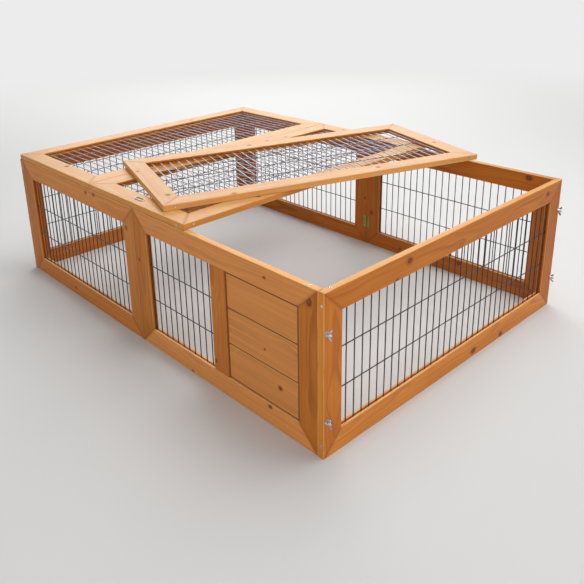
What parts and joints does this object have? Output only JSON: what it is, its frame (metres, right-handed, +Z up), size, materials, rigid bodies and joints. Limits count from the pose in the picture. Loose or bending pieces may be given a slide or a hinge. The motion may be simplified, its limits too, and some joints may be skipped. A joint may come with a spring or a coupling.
{
  "type": "outdoor rabbit run",
  "caption": "Bottomless rectangular timber pen with welded mesh panels, a boarded bay, folding long walls bolted to end panels by wing nuts, and loose mesh lids, the last lying askew.",
  "frame": {"origin": "on the ground, at the middle of the overall length and of the overall depth, which includes the corner of the loose lid that overhangs the back wall", "axes": "+X along the run towards the end panel by the open bay, +Y from the boarded front wall to the back wall, +Z up"},
  "size_m": [1.6062, 1.2452, 0.488],
  "materials": {
    "stained_timber": "honey-orange stain on planed fir, satin",
    "mesh_wire": "dark coated welded wire",
    "zinc_fittings": "bright zinc plating",
    "brass_fittings": "brass plating, slightly dulled"
  },
  "bodies": {
    "pen": {"end_near_top_rail": "stained_timber", "end_near_bottom_rail": "stained_timber", "end_near_front_stile": "stained_timber", "end_near_back_stile": "stained_timber", "end_near_mesh": "mesh_wire", "end_far_top_rail": "stained_timber", "end_far_bottom_rail": "stained_timber", "end_far_front_stile": "stained_timber", "end_far_back_stile": "stained_timber", "end_far_mesh": "mesh_wire", "front_left_top_rail": "stained_timber", "front_left_bottom_rail": "stained_timber", "front_left_end_stile": "stained_timber", "front_left_fold_stile": "stained_timber", "front_left_mesh": "mesh_wire", "front_right_top_rail": "stained_timber", "front_right_bottom_rail": "stained_timber", "front_right_end_stile": "stained_timber", "front_right_fold_stile": "stained_timber", "front_right_mesh": "mesh_wire", "front_right_post": "stained_timber", "front_right_boards_odd": "stained_timber", "front_right_boards_even": "stained_timber", "back_left_top_rail": "stained_timber", "back_left_bottom_rail": "stained_timber", "back_left_end_stile": "stained_timber", "back_left_fold_stile": "stained_timber", "back_left_mesh": "mesh_wire", "back_right_top_rail": "stained_timber", "back_right_bottom_rail": "stained_timber", "back_right_end_stile": "stained_timber", "back_right_fold_stile": "stained_timber", "back_right_mesh": "mesh_wire", "hinge_leaves": "brass_fittings", "hinge_pins": "brass_fittings", "hinge_screws": "brass_fittings", "hanger_bolts": "zinc_fittings", "washers": "zinc_fittings", "wall_screws": "zinc_fittings"},
    "lid_a": {"lid_a_long_rails": "stained_timber", "lid_a_short_rails": "stained_timber", "lid_a_mesh": "mesh_wire", "lid_a_screws": "zinc_fittings"},
    "lid_b": {"lid_b_long_rails": "stained_timber", "lid_b_short_rails": "stained_timber", "lid_b_mesh": "mesh_wire", "lid_b_screws": "zinc_fittings", "lid_b_pull": "brass_fittings"},
    "lid_c": {"lid_c_long_rails": "stained_timber", "lid_c_short_rails": "stained_timber", "lid_c_mesh": "mesh_wire", "lid_c_screws": "zinc_fittings"},
    "nut_near_front_low": {"wing_nut_near_front_low": "zinc_fittings"},
    "nut_near_front_high": {"wing_nut_near_front_high": "zinc_fittings"},
    "nut_near_back_low": {"wing_nut_near_back_low": "zinc_fittings"},
    "nut_near_back_high": {"wing_nut_near_back_high": "zinc_fittings"},
    "nut_far_front_low": {"wing_nut_far_front_low": "zinc_fittings"},
    "nut_far_front_high": {"wing_nut_far_front_high": "zinc_fittings"},
    "nut_far_back_low": {"wing_nut_far_back_low": "zinc_fittings"},
    "nut_far_back_high": {"wing_nut_far_back_high": "zinc_fittings"}
  },
  "joints": [
    {"name": "lid_a_slide", "type": "slide", "parent": "pen", "child": "lid_a", "axis": [-1, 0, 0], "range_m": [0, 0.525]},
    {"name": "lid_b_lift", "type": "slide", "parent": "pen", "child": "lid_b", "axis": [0, 0, 1], "range_m": [0, 0.4]},
    {"name": "lid_c_lift", "type": "slide", "parent": "lid_b", "child": "lid_c", "axis": [0, 0, 1], "range_m": [0, 0.4]},
    {"name": "nut_near_front_low_turn", "type": "hinge", "parent": "pen", "child": "nut_near_front_low", "pos_m": [0.7931, -0.61305, 0.105], "axis": [1, 0, 0], "continuous": true},
    {"name": "nut_near_front_high_turn", "type": "hinge", "parent": "pen", "child": "nut_near_front_high", "pos_m": [0.7931, -0.61305, 0.345], "axis": [1, 0, 0], "continuous": true},
    {"name": "nut_near_back_low_turn", "type": "hinge", "parent": "pen", "child": "nut_near_back_low", "pos_m": [0.7931, 0.48795, 0.105], "axis": [1, 0, 0], "continuous": true},
    {"name": "nut_near_back_high_turn", "type": "hinge", "parent": "pen", "child": "nut_near_back_high", "pos_m": [0.7931, 0.48795, 0.345], "axis": [1, 0, 0], "continuous": true},
    {"name": "nut_far_front_low_turn", "type": "hinge", "parent": "pen", "child": "nut_far_front_low", "pos_m": [-0.7931, -0.61305, 0.105], "axis": [-1, 0, 0], "continuous": true},
    {"name": "nut_far_front_high_turn", "type": "hinge", "parent": "pen", "child": "nut_far_front_high", "pos_m": [-0.7931, -0.61305, 0.345], "axis": [-1, 0, 0], "continuous": true},
    {"name": "nut_far_back_low_turn", "type": "hinge", "parent": "pen", "child": "nut_far_back_low", "pos_m": [-0.7931, 0.48795, 0.105], "axis": [-1, 0, 0], "continuous": true},
    {"name": "nut_far_back_high_turn", "type": "hinge", "parent": "pen", "child": "nut_far_back_high", "pos_m": [-0.7931, 0.48795, 0.345], "axis": [-1, 0, 0], "continuous": true}
  ]
}
